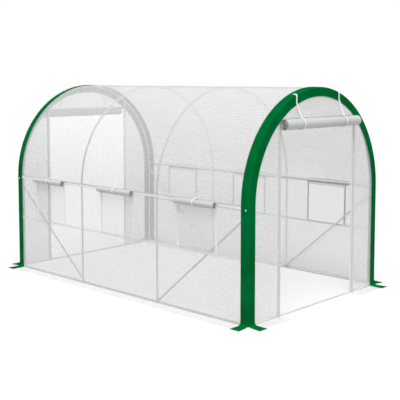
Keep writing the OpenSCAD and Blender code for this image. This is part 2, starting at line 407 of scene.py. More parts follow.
@dataclass(frozen=True)
class ThreadFinish(Finish):
    """Pale plastic of a net's threads, a zip's teeth or a cap, with no map of its own."""

    tint: Colour = (0.92, 0.925, 0.92, 1.0)
    shade: Colour = (0.84, 0.85, 0.845, 1.0)

    def paint(self, s: Shader) -> Inputs:
        """Faint variation of tint and gloss.

        Args:
            s: The material's nodes.

        Returns:
            Values for the sockets of a Principled shader.
        """
        cloud = s.cloud(scale=30.0, detail=2.0)
        tone = s.blend(cloud, self.tint, self.shade)
        return {"Base Color": tone, "Roughness": 0.35 + 0.2 * cloud}


@dataclass(frozen=True)
class TubeFinish(Finish):
    """Tube in pale silver paint, dusty near the ground, with painted shade of the cover and no
    metal flake on the sides that face out to the cover.
    """

    name: str = "painted_tube"
    slot: Slot = Slot.TUBE
    fresh: Colour = (0.92, 0.925, 0.925, 1.0)
    worn: Colour = (0.86, 0.865, 0.865, 1.0)
    # The next tone is a painted shade: the darker colour of the sides that face out to the cover,
    # standing in for the cover's shadow on them.
    cover_shade: Colour = (0.62, 0.625, 0.625, 1.0)
    dust: Colour = (0.56, 0.545, 0.52, 1.0)
    dust_top: float = 0.12
    flake: float = 0.55
    shoulder: float = 1.02
    cover_facing: Point = (-0.1, 0.35)
    cover_reach: Point = (0.92, 0.95)

    def shaded_outer_side(self, s: Shader) -> Value:
        """Find the sides of the tubes that face out to the cover, which get painted shade.

        Args:
            s: The material's nodes.

        Returns:
            1 where a tube near the walls or the roof faces out to them, or else 0.
        """
        spot = s.spot()
        across = s.axes(spot)
        rise = (across.also("Z") - self.shoulder) | 0.0
        outwards = s.node("ShaderNodeCombineXYZ", inputs={"X": across, "Z": rise})
        facing = s.vector("DOT_PRODUCT", outwards, spot.also("Normal"))
        reach = s.vector("LENGTH", outwards)
        return s.ease(facing, *self.cover_facing) * s.ease(reach, *self.cover_reach)

    def paint(self, s: Shader) -> Inputs:
        """Orange peel, worn patches, painted shade without metal flake on the outer side, and dust
        at the foot.

        Args:
            s: The material's nodes.

        Returns:
            Values for the sockets of a Principled shader.
        """
        outer = self.shaded_outer_side(s)
        wear = s.ease(s.cloud(scale=14.0, detail=5.0), 0.5, 0.72)
        low = s.ease(s.axes(s.spot()).also("Z"), self.dust_top, 0.0)
        dusty = low * s.cloud(scale=22.0, detail=4.0)
        # The outer sides take the darker tone, a painted shade of the cover's shadow on the tubes.
        tone = s.blend(outer, s.blend(0.5 * wear, self.fresh, self.worn), self.cover_shade)
        return {
            "Base Color": s.blend(0.4 * dusty, tone, self.dust),
            "Metallic": self.flake * (1 - outer) * (1 - dusty),
            "Roughness": 0.3 + 0.2 * wear + 0.3 * dusty,
            "Normal": s.relief(s.cloud(scale=400.0, detail=1.0), depth=0.0002, strength=0.25),
        }


@dataclass(frozen=True)
class BoltFinish(Finish):
    """Bright plated steel with dull patches."""

    name: str = "plated_steel"
    slot: Slot = Slot.TUBE
    plate: Colour = (0.72, 0.72, 0.7, 1.0)
    dull: Colour = (0.5, 0.5, 0.49, 1.0)

    def paint(self, s: Shader) -> Inputs:
        """Metal with dull patches.

        Args:
            s: The material's nodes.

        Returns:
            Values for the sockets of a Principled shader.
        """
        dull = s.ease(s.cloud(scale=120.0, detail=4.0), 0.4, 0.7)
        return {
            "Base Color": s.blend(dull, self.plate, self.dull),
            "Metallic": 1.0,
            "Roughness": 0.25 + 0.25 * dull,
        }


class Finishes:
    """The finishes of the whole tunnel."""

    def __init__(self) -> None:
        """Make each material once."""
        self.wall_film = FilmFinish("wall_film").dress()
        # The roof's film is a darker copy of the wall film, a painted shade that tones down the
        # roof where the light falls strongest.
        self.roof_film = FilmFinish(
            "roof_film", tint=(0.79, 0.795, 0.793, 1.0), thread_tint=(0.84, 0.845, 0.842, 1.0)
        ).dress()
        # The rolled film is a darker, nearly opaque copy of the wall film; its darker tint is a
        # painted shade of the rolls' own shading.
        self.shaded_rolled_film = FilmFinish(
            "shaded_rolled_film", tint=(0.63, 0.635, 0.633, 1.0), thread_tint=(0.69, 0.695, 0.693, 1.0),
            opacity=0.9, thread_opacity=0.95,
        ).dress()
        self.band = BandFinish().dress()
        self.tape = TapeFinish("white_tape").dress()
        self.zip_tape = TapeFinish(
            "zip_tape", tint=(0.78, 0.785, 0.78, 1.0), shade=(0.7, 0.705, 0.7, 1.0)
        ).dress()
        self.seam_tape = TapeFinish("seam_tape", opacity=0.4).dress()
        self.net = ThreadFinish("net_thread", Slot.NET).dress()
        self.teeth = ThreadFinish("zip_teeth", Slot.TAPE).dress()
        self.tube = TubeFinish().dress()
        # The braces get a still darker painted shade on their outer sides.
        self.brace = TubeFinish(
            "painted_brace", cover_shade=(0.46, 0.465, 0.465, 1.0), flake=0.2
        ).dress()
        self.bolt = BoltFinish().dress()


# Shared shapes


@dataclass(frozen=True)
class Plan:
    """Sizes that the whole tunnel shares, in metres."""

    half_w: float = 1.0
    half_l: float = 1.675
    shoulder: float = 1.02
    corner: float = 0.0123
    bays: int = 3
    band: float = 0.085
    door_half: float = 0.565
    door_head: float = 1.75
    zip: float = 0.03
    seat: float = 0.0003
    tape: float = 0.02
    seam: float = 0.565
    sheet: float = 0.0012
    wall_sag: float = 0.005
    fold_depth: float = 0.003
    side_folds: float = 3.0
    end_folds: float = 4.0
    end_slack_area: float = 0.02

    @property
    def hoop_r(self) -> float:
        """Radius of the middle of a hoop's tube, and the legs' distance from the middle."""
        return self.half_w - self.corner

    @property
    def end_y(self) -> float:
        """Distance of the end hoops from the middle."""
        return self.half_l - self.corner

    @property
    def shown(self) -> float:
        """Half the length of wall that shows between the edge bands."""
        return self.half_l - self.band

    @property
    def reach(self) -> float:
        """Half the length of what is sewn on a long wall, just clear of the edge bands."""
        return self.shown - self.seat

    @property
    def clear_r(self) -> float:
        """Radius just inside the edge bands."""
        return self.half_w - self.band - self.seat

    def clear_half(self, up: float) -> float:
        """Half the width of an end wall that shows inside the edge band at a height."""
        return math.sqrt(self.clear_r**2 - max(up - self.shoulder, 0.0) ** 2)

    def hoops(self) -> list[float]:
        """Y of each hoop, from the front."""
        pitch = 2 * self.end_y / self.bays
        return [-self.end_y + i * pitch for i in range(self.bays + 1)]

    def windows(self) -> list[float]:
        """Y of the middle of each window, from the front."""
        spans = pairwise(self.hoops())
        return [(max(low, -self.shown) + min(high, self.shown)) / 2 for low, high in spans]

    def frame(self, wall: Wall) -> Matrix:
        """Frame of a wall: X out from the cover, Y along it and Z up."""
        out = self.half_w if wall in SIDES else self.half_l
        return Matrix.Rotation(wall.value, 4, "Z") @ Matrix.Translation((out, 0, 0))

    def side_slack(self, along: float, up: float) -> float:
        """How free a place of a long wall is, from 0 at a tube to 1."""
        return slack_between(along, self.hoops()) * slack_between(up, (0.0, self.shoulder))

    def end_slack(self, along: float, up: float) -> float:
        """How free a place of an end wall is.

        Args:
            along: Its distance from the middle of the wall.
            up: Its height.

        Returns:
            From 0 at the hoop or the doorway to 1.
        """
        from_hoop = max(self.hoop_r - math.hypot(along, max(up - self.shoulder, 0.0)), 0.0)
        beside = abs(along) - self.door_half - self.zip
        from_door = max(beside if up < self.door_head else up - self.door_head, 0.0)
        return min(1.0, from_hoop * from_door / self.end_slack_area)

    def face(self, wall: Wall, along: float, up: float) -> float:
        """How far the face of a wall stands out, as it hangs slack between the tubes.

        Args:
            wall: The wall.
            along: Place along it.
            up: Height.

        Returns:
            The distance, which is below 0 where the wall sags inwards.
        """
        if wall in SIDES:
            slack, folds = self.side_slack(along, up), self.side_folds
        else:
            slack, folds = self.end_slack(along, up), self.end_folds
        return slack * (crumple(along, up, wall.value, folds) * self.fold_depth - self.wall_sag)


def crumple(a: float, b: float, turn: float, scale: float) -> float:
    """Folds of a loosely held sheet, from about -1 to 1, different on each wall."""
    at = Vector((a * scale, b * scale, TURN_APART * turn))
    return noise.noise(at) + 0.5 * noise.noise(at * FINER)


def slack_between(at: float, holds: Sequence[float]) -> float:
    """How free a place is between the places where a sheet is held.

    Args:
        at: The place.
        holds: Where the sheet is held, in order.

    Returns:
        0 at a hold and 1 midway between two.
    """
    for low, high in pairwise(holds):
        if low <= at <= high:
            return math.sin(math.pi * (at - low) / (high - low))
    return 0.0


def flat_cut(low: Point, high: Point, cell: Point) -> BMesh:
    """Lay out a flat sheet.

    Args:
        low: Its lower corner.
        high: Its upper corner.
        cell: About how large its faces are.

    Returns:
        The sheet in the XY plane, facing up, with its cut kept in metres.
    """
    sheet = bmesh.new()
    size = [b - a for a, b in zip(low, high)]
    steps = [max(1, round(s / c)) for s, c in zip(size, cell)]
    middle = Matrix.Translation(((low[0] + high[0]) / 2, (low[1] + high[1]) / 2, 0))
    place = middle @ Matrix.Diagonal((size[0] / 2, size[1] / 2, 1, 1))
    bmesh.ops.create_grid(sheet, x_segments=steps[0], y_segments=steps[1], size=1, matrix=place)
    keep_cut(sheet, lambda p: (p.x, p.y))
    return sheet


def keep_cut(sheet: BMesh, to_cut: Callable[[Vector], Point]) -> None:
    """Keep where each corner lies on the flat cut.

    Args:
        sheet: The sheet.
        to_cut: Gives a point's place on the cut, in metres.
    """
    layer = sheet.loops.layers.uv.get(CUT_MAP) or sheet.loops.layers.uv.new(CUT_MAP)
    for face in sheet.faces:
        for loop in face.loops:
            loop[layer].uv = to_cut(loop.vert.co)


def bend(sheet: BMesh, shape: Callable[[Vector], Sequence[float]]) -> None:
    """Move each vertex to where the shape puts it."""
    for vert in sheet.verts:
        vert.co = shape(vert.co)


def cut_out(sheet: BMesh, low: Point, high: Point, axes: tuple[int, int] = (0, 1)) -> None:
    """Cut a rectangular opening.

    Args:
        sheet: The sheet.
        low: The opening's lower corner.
        high: Its upper corner.
        axes: The two axes that the corners are measured along.
    """
    for axis, ends in zip(axes, zip(low, high)):
        way = Vector([float(i == axis) for i in range(3)])
        for end in ends:
            geometry = [*sheet.verts, *sheet.edges, *sheet.faces]
            bmesh.ops.bisect_plane(sheet, geom=geometry, plane_co=way * end, plane_no=way)
    inside = [
        face for face in sheet.faces
        if all(a < face.calc_center_median()[i] < b for i, a, b in zip(axes, low, high))
    ]
    bmesh.ops.delete(sheet, geom=inside, context="FACES")


def draw_on(
    section: BMesh, last: list[BMVert], points: Iterable[Sequence[float]]
) -> list[BMVert]:
    """Draw edges from the last vertex of a section through new points.

    Args:
        section: The section in the making.
        last: Its last vertex.
        points: The new points.

    Returns:
        The vertex at the last point.
    """
    for point in points:
        last = bmesh.ops.extrude_vert_indiv(section, verts=last)["verts"]
        last[0].co = point
    return last


def sweep_arch(profile: BMesh, plan: Plan, foot: float, steps: int, leg_cuts: int) -> None:
    """Carry a profile up one leg of the end outline, over the arch and down the other leg.

    Args:
        profile: Edges that stand at the shoulder of the right leg, in an end wall's frame.
        plan: The tunnel's sizes.
        foot: Height where the legs end.
        steps: Steps round the arch.
        leg_cuts: Cuts along each leg.
    """
    start = profile.edges[:]
    spun = bmesh.ops.spin(
        profile, geom=[*profile.verts, *start], cent=(0, 0, plan.shoulder), axis=(1, 0, 0),
        angle=math.pi, steps=steps,
    )
    finish = [e for e in spun["geom_last"] if isinstance(e, BMEdge)]
    for edges in (start, finish):
        pulled = bmesh.ops.extrude_edge_only(profile, edges=edges)["geom"]
        verts = [v for v in pulled if isinstance(v, BMVert)]
        bmesh.ops.translate(profile, verts=verts, vec=(0, 0, foot - plan.shoulder))
        rails = {e for v in verts for e in v.link_edges if e.other_vert(v) not in verts}
        bmesh.ops.subdivide_edges(profile, edges=list(rails), cuts=leg_cuts, use_grid_fill=True)
    bmesh.ops.recalc_face_normals(profile, faces=profile.faces[:])
    top = max(profile.faces, key=lambda f: f.calc_center_median().z)
    if top.normal.x + top.normal.z < 0:
        bmesh.ops.reverse_faces(profile, faces=profile.faces[:])


def block(mesh: BMesh, at: Sequence[float], size: Sequence[float]) -> None:
    """Add one straight block, such as a thread of a net or a tooth of a zip."""
    place = Matrix.Translation(at) @ Matrix.Diagonal((*size, 1))
    bmesh.ops.create_cube(mesh, size=1, matrix=place)


@dataclass(frozen=True)
class Cut:
    """How a sheet was cut and is held, and the thickness to give it if its shape has none."""

    flat: Point
    thickness: float | None
    held: Held = Held.STRETCHED
    rests_on: tuple[str, ...] = ()
    area: float | None = None


def put(name: str, data: bpy.types.ID) -> bpy.types.Object:
    """Add an object to the scene.

    Args:
        name: Its name.
        data: Its mesh, lamp or camera.

    Returns:
        The object.
    """
    made = bpy.data.objects.new(name, data)
    bpy.context.scene.collection.objects.link(made)
    return made


def show(
    shape: BMesh,
    name: str,
    dress: Dress,
    node: str = "",
    cut: Cut | None = None,
    place: Matrix = UNMOVED,
) -> None:
    """Turn a finished shape into a piece of the tunnel, at the origin with its place in its mesh.

    Args:
        shape: The shape, which is freed.
        name: The piece's name.
        dress: Its material and slot.
        node: The CAD node that it replaces.
        cut: A sheet's cut. The sheet gets its thickness here, behind the face it was built with.
        place: The frame that the shape was built in.
    """
    if cut and cut.thickness:
        shape.normal_update()
        bmesh.ops.solidify(shape, geom=shape.faces[:], thickness=cut.thickness)
    bmesh.ops.transform(shape, matrix=place, verts=shape.verts[:])
    mesh = bpy.data.meshes.new(name)
    shape.to_mesh(mesh)
    shape.free()
    mesh.shade_smooth()
    mesh.set_sharp_from_angle(angle=SHARP_ANGLE)
    mesh.materials.append(dress.material)
    piece = put(name, mesh)
    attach(piece, "root")
    if node:
        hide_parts(node)
    log.info("%s: %d faces", name, len(mesh.polygons))


@dataclass(frozen=True)
class GroundFlap:
    """A sheet that lies on the ground outside a wall, with its free edge lifted here and there."""

    low: float
    high: float
    held_at: float
    turn: float
    folds: float
    cell: Point
    width: float = 0.118
    sheet: float = 0.0012
    grip: float = 0.1
    lift: float = 0.006
    wave: float = 0.0
    wave_turn: float = 0.0
    wave_folds: float = 2.0

    def cut(self) -> Cut:
        """How the flap was cut."""
        return Cut((self.width, self.high - self.low), self.sheet, Held.LAID)

    def build(self) -> BMesh:
        """Cut the flap flat and lay it down.

        Returns:
            The flap's upper face.
        """
        cloth = flat_cut((0.0, self.low), (self.width, self.high), self.cell)
        bend(cloth, self.laid)
        return cloth

    def laid(self, flat: Vector) -> Vector:
        """Lay down one point.

        Args:
            flat: Its place on the flat cut.

        Returns:
            Its place on the ground, where it lies flat by the wall and by the bands.
        """
        free = min(1.0, (self.held_at - abs(flat.y)) / self.grip) * flat.x / self.width
        lift = max(0.0, crumple(flat.y, flat.x, self.turn, self.folds)) * self.lift * free
        edge = self.wave * crumple(flat.y, 0.0, self.wave_turn, self.wave_folds) * free
        return Vector((flat.x + edge, flat.y, self.sheet + lift))


@dataclass(frozen=True)
class Roll:
    """A sheet that hangs from a seam, with its ends tucked in there, and is rolled up outwards."""

    width: float
    length: float
    across: float
    core: float
    seed: float
    rise: float = 0.0
    tuck: float = 0.0
    sheet: float = 0.0012
    facets: int = 30
    cell: float = 0.03
    skew: float = 0.006
    skew_rate: float = 9.0
    fold: float = 0.03
    fold_rate: Point = (1.6, 7.0)
    crease: float = 0.02
    crease_rate: Point = (4.0, 16.0)
    squeeze: float = 0.012

    def cut(self, rests_on: str) -> Cut:
        """How the sheet was cut, and what its roll lies against."""
        return Cut((self.width, self.length), self.sheet, Held.FOLDED, (rests_on,))

    def build(self) -> BMesh:
        """Cut the sheet flat and roll it up.

        Returns:
            The sheet's outer face, with the roll's top at Z = 0 and its back at X = 0.
        """
        turns = self.length / (math.pi * (self.across / 2 + self.core))
        step = self.length / (turns * self.facets)
        half = self.width / 2
        cloth = flat_cut((-half, 0.0), (half, self.length), (self.cell, step))
        bend(cloth, self.wound)
        bmesh.ops.reverse_faces(cloth, faces=cloth.faces[:])
        return cloth

    def wound(self, flat: Vector) -> Vector:
        """Roll up one point.

        Args:
            flat: Its place on the flat cut.

        Returns:
            Its place on the tail that hangs from the seam, or on the spiral.
        """
        middle, outer = self.across / 2, self.across / 2 - self.sheet
        drop = middle - self.rise
        skew = noise.noise(Vector((self.seed, flat.y * self.skew_rate, 0)))
        along = flat.x * (1 + self.skew * skew)
        if flat.y <= drop:
            along *= 1 - self.tuck * (1 - flat.y / drop)
            return Vector((self.sheet, along, -self.rise - flat.y))
        shrink = (outer**2 - self.core**2) / (2 * (self.length - drop))
        radius = math.sqrt(max(outer**2 - 2 * shrink * (flat.y - drop), self.core**2))
        angle = math.pi + (outer - radius) / shrink
        around = Vector((math.cos(angle), math.sin(angle), 0))
        fold, crease = (
            noise.noise(Vector((around.x * wide, around.y * wide, self.seed + flat.x * long)))
            for wide, long in (self.fold_rate, self.crease_rate)
        )
        radius *= 1 + self.fold * fold + self.crease * crease - self.squeeze
        return Vector((middle + around.x * radius, along, around.y * radius - middle))


@dataclass(frozen=True)
class Strap:
    """A flat strip that follows a path in an upright plane, tilted across near its start."""

    width: float
    thickness: float
    path: tuple[Point, ...]
    slope: float = 0.0
    level_after: float = 0.08
    cell: float = 0.006

    @property
    def length(self) -> float:
        """Length of the path."""
        return sum(math.dist(a, b) for a, b in pairwise(self.path))

    def cut(self, rests_on: str) -> Cut:
        """How the strip was cut, and what it hangs from."""
        return Cut((self.width, self.length), self.thickness, Held.HUNG, (rests_on,))

    def at(self, way: float) -> Vector:
        """Follow the path.

        Args:
            way: Distance from its start.

        Returns:
            The point there, as out and up.
        """
        for a, b in pairwise(self.path):
            span = math.dist(a, b)
            if way <= span:
                return Vector(a).lerp(Vector(b), way / span)
            way -= span
        return Vector(self.path[-1])

    def laid(self, flat: Vector) -> Vector:
        """Lay one point along the path.

        Args:
            flat: Its place on the flat cut.

        Returns:
            Its place on the path.
        """
        at = self.at(flat.y)
        tilt = self.slope * flat.x * max(0.0, 1 - flat.y / self.level_after)
        return Vector((at.x, flat.x, at.y - tilt))

    def build(self) -> BMesh:
        """Cut the strip flat and lay it along the path.

        Returns:
            The strip's outer face.
        """
        half = self.width / 2
        strip = flat_cut((-half, 0.0), (half, self.length), (half / 2, self.cell))
        bend(strip, self.laid)
        return strip


def wrap_path(
    start: Point, centre: Point, radius: float, slack: float = 0.0, steps: int = 30
) -> list[Point]:
    """Path of a strap from a point to a roll, and round the roll's front to its underside.

    Args:
        start: Where the strap leaves the wall, as out and up.
        centre: Middle of the roll.
        radius: Radius that the strap lies at.
        slack: Angle from a tight strap's first touch back to where a slack one meets the roll.
        steps: Steps round the roll.

    Returns:
        The points of the path after the start.
    """
    away = (start[0] - centre[0], start[1] - centre[1])
    touch = math.atan2(away[1], away[0]) - math.acos(radius / math.hypot(*away)) + slack
    angles = [touch + (STRAP_END - touch) * k / steps for k in range(steps + 1)]
    return [(centre[0] + radius * math.cos(a), centre[1] + radius * math.sin(a)) for a in angles]


# Sub-assemblies


@dataclass
class TubeFrame:
    """Hoops, rails, sills, posts and braces, with the bolts that hold the braces."""

    plan: Plan
    finishes: Finishes
    brace_in: float = 0.0266
    brace_foot: float = 0.02
    brace_top: float = 0.96
    washer: tuple[float, float, int] = (0.008, 0.0012, 20)
    head: tuple[float, float, int] = (0.0055, 0.004, 6)
    chamfer: float = 0.2

    def build(self) -> None:
        """Paint the tubes and add the bolts."""
        slots = {p["node"]: p["material_slot"] for p in frame["record"]["subparts"]}
        for name, node in frame["nodes"].items():
            if slots[name] == Slot.TUBE.value:
                dress = self.finishes.brace if "brace" in name else self.finishes.tube
                node.data.materials.clear()
                node.data.materials.append(dress.material)
                log.info("%s: painted", name)
        for side in SIDES:
            self.bolts(side)

    def bolts(self, side: Wall) -> None:
        """Put hexagon bolts and washers through the flattened ends of one side's braces.

        Args:
            side: The side.
        """
        hoops = self.plan.hoops()
        steel = bmesh.new()
        for end, inner in ((hoops[0], hoops[1]), (hoops[-1], hoops[-2])):
            for along, up in ((inner, self.brace_foot), (end, self.brace_top)):
                self.bolt(steel, (-self.brace_in, along, up))
        name = f"{side.name.lower()}_brace_bolts"
        show(steel, name, self.finishes.bolt, place=self.plan.frame(side))

    def bolt(self, steel: BMesh, at: Sequence[float]) -> None:
        """Add one bolt head on its washer, facing into the tunnel.

        Args:
            steel: The side's bolts.
            at: Where the washer lies on the brace.
        """
        facing = Matrix.Translation(at) @ Matrix.Rotation(-math.pi / 2, 4, "Y")
        depth = 0.0
        for radius, height, sides in (self.washer, self.head):
            made = bmesh.ops.create_cone(
                steel, cap_ends=True, segments=sides, radius1=radius, radius2=radius, depth=height,
                matrix=facing @ Matrix.Translation((0, 0, depth + height / 2)),
            )
            edges = list({e for v in made["verts"] for e in v.link_edges})
            bmesh.ops.bevel(
                steel, geom=edges, offset=height * self.chamfer, affect="EDGES", segments=1,
                profile=0.5, material=-1,
            )
            depth += height


@dataclass
class Roof:
    """Sheet over the round roof, from shoulder to shoulder."""

    plan: Plan
    finishes: Finishes
    cell: float = 0.028
    sag: float = 0.006
    fold_turn: float = 1.3
    folds: float = 2.5

    def build(self) -> None:
        """Cut the sheet flat and lay it over the hoops."""
        plan = self.plan
        arc = math.pi * plan.half_w
        cloth = flat_cut((-plan.end_y, 0.0), (plan.end_y, arc), (self.cell, self.cell))
        bend(cloth, self.laid)
        tubes = ("front_hoop", "middle_hoops", "back_hoop", "ridge_rail")
        cut = Cut((2 * plan.end_y, arc), plan.sheet, rests_on=tubes)
        show(cloth, "roof_sheet", self.finishes.roof_film, "roof_cover", cut)

    def laid(self, flat: Vector) -> Vector:
        """Lay one point over the hoops.

        Args:
            flat: Its place on the flat cut.

        Returns:
            Its place on the roof, which sags between the hoops and the rails.
        """
        plan = self.plan
        angle = flat.y / plan.half_w
        held_at = (0.0, math.pi / 2, math.pi)
        slack = slack_between(flat.x, plan.hoops()) * slack_between(angle, held_at)
        folds = crumple(flat.x, flat.y, self.fold_turn, self.folds) * plan.fold_depth
        radius = plan.half_w + slack * (folds - self.sag)
        return Vector((radius * math.cos(angle), flat.x, plan.shoulder + radius * math.sin(angle)))


@dataclass
class WallPart:
    """A sub-assembly that is built in the frame of one wall."""

    plan: Plan
    finishes: Finishes
    wall: Wall

    @property
    def name(self) -> str:
        """The wall's name, which its pieces' names start with."""
        return self.wall.name.lower()

    def add(
        self,
        shape: BMesh,
        name: str,
        dress: Dress,
        node: str = "",
        cut: Cut | None = None,
        place: Matrix = UNMOVED,
    ) -> None:
        """Show a piece of this wall.

        Args:
            shape: The shape, which is freed.
            name: The piece's name without the wall's.
            dress: Its material and slot.
            node: The CAD node that it replaces, without the wall's name.
            cut: A sheet's cut.
            place: Where the shape was built, in the wall's frame.
        """
        node = node and f"{self.name}_{node}"
        place = self.plan.frame(self.wall) @ place
        show(shape, f"{self.name}_{name}", dress, node, cut, place)


@dataclass
class SideWall(WallPart):
    """One long wall: its two panels, ground flap, tapes, nets, rolled flaps and loops."""

    cell: float = 0.03
    window_w: float = 0.45
    window_foot: float = 0.575
    window_top: float = 0.965
    flap_cell: Point = (0.02, 0.03)
    flap_folds: float = 3.5
    flap_seed: float = 2.0
    flap_wave: float = 0.004
    tape_t: float = 0.001
    tape_cell: float = 0.005
    net_pitch: float = 0.0052
    net_thread: float = 0.00098
    net_lap: float = 0.012
    net_layers: Point = (0.7, 1.4)
    roll_w: float = 0.486
    roll_across: float = 0.058
    roll_core: float = 0.008
    roll_back: float = 0.0018
    roll_rise: float = 0.016
    roll_seed: float = 5.0
    loop_w: float = 0.014
    loop_t: float = 0.0015
    loop_anchor: float = 0.018
    loop_seam: Point = (0.0006, 0.012)
    loop_leave: float = 0.004
    loop_ease: float = 1.2

    def build(self) -> None:
        """Build the wall from the ground up."""
        plan = self.plan
        self.panel("lower", 0.0, plan.seam, "ground_rail")
        self.panel("window", plan.seam, plan.shoulder, "shoulder_rail", plan.windows())
        self.ground_flap()
        self.tapes()
        for number, middle in enumerate(plan.windows(), 1):
            self.net(number, middle)
            self.rolled_flap(number, middle)
            self.loop(number, middle)

    def on_wall(self, flat: Vector, lift: float = 0.0) -> Vector:
        """Where a point of a sheet on the wall lies, lifted off the wall's face."""
        return Vector((self.plan.face(self.wall, flat.x, flat.y) + lift, flat.x, flat.y))

    def panel(
        self, word: str, foot: float, top: float, rail: str, windows: Sequence[float] = ()
    ) -> None:
        """Hang one sheet of the wall.

        Args:
            word: What the panel is called.
            foot: Height of its lower edge.
            top: Height of its upper edge.
            rail: The rail that it is held by, without the wall's name.
            windows: Middles of the windows that are cut in it.
        """
        plan, half = self.plan, self.window_w / 2
        cloth = flat_cut((-plan.end_y, foot), (plan.end_y, top), (self.cell, self.cell))
        for middle in windows:
            cut_out(cloth, (middle - half, self.window_foot), (middle + half, self.window_top))
        keep_cut(cloth, lambda p: (p.x, p.y))
        bend(cloth, self.on_wall)
        size = (2 * plan.end_y, top - foot)
        openings = len(windows) * self.window_w * (self.window_top - self.window_foot)
        area = size[0] * size[1] - openings if windows else None
        tubes = (f"{self.name}_{rail}", "middle_hoops")
        cut = Cut(size, plan.sheet, rests_on=tubes, area=area)
        self.add(cloth, f"{word}_sheet", self.finishes.wall_film, f"{word}_panel", cut)

    def ground_flap(self) -> None:
        """Lay the flap along the foot of the wall."""
        reach, turn = self.plan.reach, self.wall.value
        flap = GroundFlap(-reach, reach, reach, turn + self.flap_seed, self.flap_folds,
                          self.flap_cell, wave=self.flap_wave, wave_turn=turn)
        self.add(flap.build(), "ground_sheet", self.finishes.wall_film, "ground_flap", flap.cut())

    def tapes(self) -> None:
        """Sew tapes along the shoulder and the seam, and up both sides of each window."""
        plan, finishes = self.plan, self.finishes
        for word, top, dress in (("shoulder", plan.shoulder, finishes.tape),
                                 ("seam", self.window_foot, finishes.seam_tape)):
            low, high = (-plan.reach, top - plan.tape), (plan.reach, top)
            self.tape(f"{word}_tape", low, high, dress, over=True)
        half = self.window_w / 2
        for number, middle in enumerate(plan.windows(), 1):
            for word, edge in (("front", middle - half - plan.tape), ("back", middle + half)):
                low, high = (edge, plan.seam), (edge + plan.tape, plan.shoulder - plan.tape / 2)
                self.tape(f"window_{number}_{word}_tape", low, high, finishes.tape)

    def tape(self, name: str, low: Point, high: Point, dress: Dress, over: bool = False) -> None:
        """Sew one tape on.

        Args:
            name: The tape's name without its side.
            low: Its lower corner on the wall.
            high: Its upper corner.
            dress: Its finish.
            over: Whether it lies along the wall, over the ends of the other tapes.
        """
        strip = flat_cut(low, high, (self.cell if over else self.tape_cell, self.cell))
        keep_cut(strip, lambda p: (p.y - low[1], p.x) if over else (p.x - low[0], p.y))
        lift = self.plan.seat + self.tape_t * (2 if over else 1)
        bend(strip, lambda flat: self.on_wall(flat, lift))
        size = (high[0] - low[0], high[1] - low[1])
        cut = Cut(size, self.tape_t, rests_on=(f"{self.name}_window_sheet",))
        self.add(strip, name, dress, "wall_tapes", cut)

    def net(self, number: int, middle: float) -> None:
        """Hang the net behind one window, as threads both ways.

        Args:
            number: The window's number, from the front.
            middle: Its middle along the wall.
        """
        net = bmesh.new()
        thread, pitch = self.net_thread, self.net_pitch
        before, behind = self.net_layers
        across = self.window_w + 2 * self.net_lap
        low, high = self.window_foot - self.net_lap, self.window_top + self.net_lap
        tall, centre = high - low, (low + high) / 2
        back = self.plan.face(self.wall, middle, centre) - self.plan.sheet
        for k in range(round(across / pitch)):
            along = middle - across / 2 + (k + 0.5) * pitch
            block(net, (back - behind * thread, along, centre), (thread, thread, tall))
        for k in range(round(tall / pitch)):
            up = low + (k + 0.5) * pitch
            block(net, (back - before * thread, middle, up), (thread, across, thread))
        cut = Cut((across, tall), None, rests_on=(f"{self.name}_window_sheet",))
        self.add(net, f"window_{number}_net", self.finishes.net, "window_nets", cut)

    def rolled_flap(self, number: int, middle: float) -> None:
        """Roll up the flap of one window over the shoulder seam.

        Args:
            number: The window's number, from the front.
            middle: Its middle along the wall.
        """
        plan, seed = self.plan, self.roll_seed * number + self.wall.value
        length = plan.shoulder - plan.seam
        roll = Roll(self.roll_w, length, self.roll_across, self.roll_core, seed, self.roll_rise)
        place = Matrix.Translation((self.roll_back, middle, plan.shoulder + self.roll_rise))
        self.add(roll.build(), f"window_{number}_roll", self.finishes.shaded_rolled_film, "window_rolls",
                 roll.cut(f"{self.name}_shoulder_tape"), place)

    def loop(self, number: int, middle: float) -> None:
        """Hang the loop that holds up the middle of a rolled flap.

        Args:
            number: The window's number, from the front.
            middle: Its middle along the wall.
        """
        plan, roll_r = self.plan, self.roll_across / 2
        anchor = (self.loop_t, self.loop_anchor)
        seam = (self.loop_t + self.loop_seam[0], self.loop_seam[1])
        leave = (plan.seat + 2 * self.tape_t + self.loop_t, self.loop_leave)
        radius = roll_r + self.loop_t * self.loop_ease
        wrapped = wrap_path(leave, (self.roll_back + roll_r, -roll_r), radius)
        strap = Strap(self.loop_w, self.loop_t, (anchor, seam, leave, *wrapped))
        place = Matrix.Translation((0, middle, plan.shoulder + self.roll_rise))
        self.add(strap.build(), f"window_{number}_loop", self.finishes.tape, "roll_loops",
                 strap.cut("roof_sheet"), place)


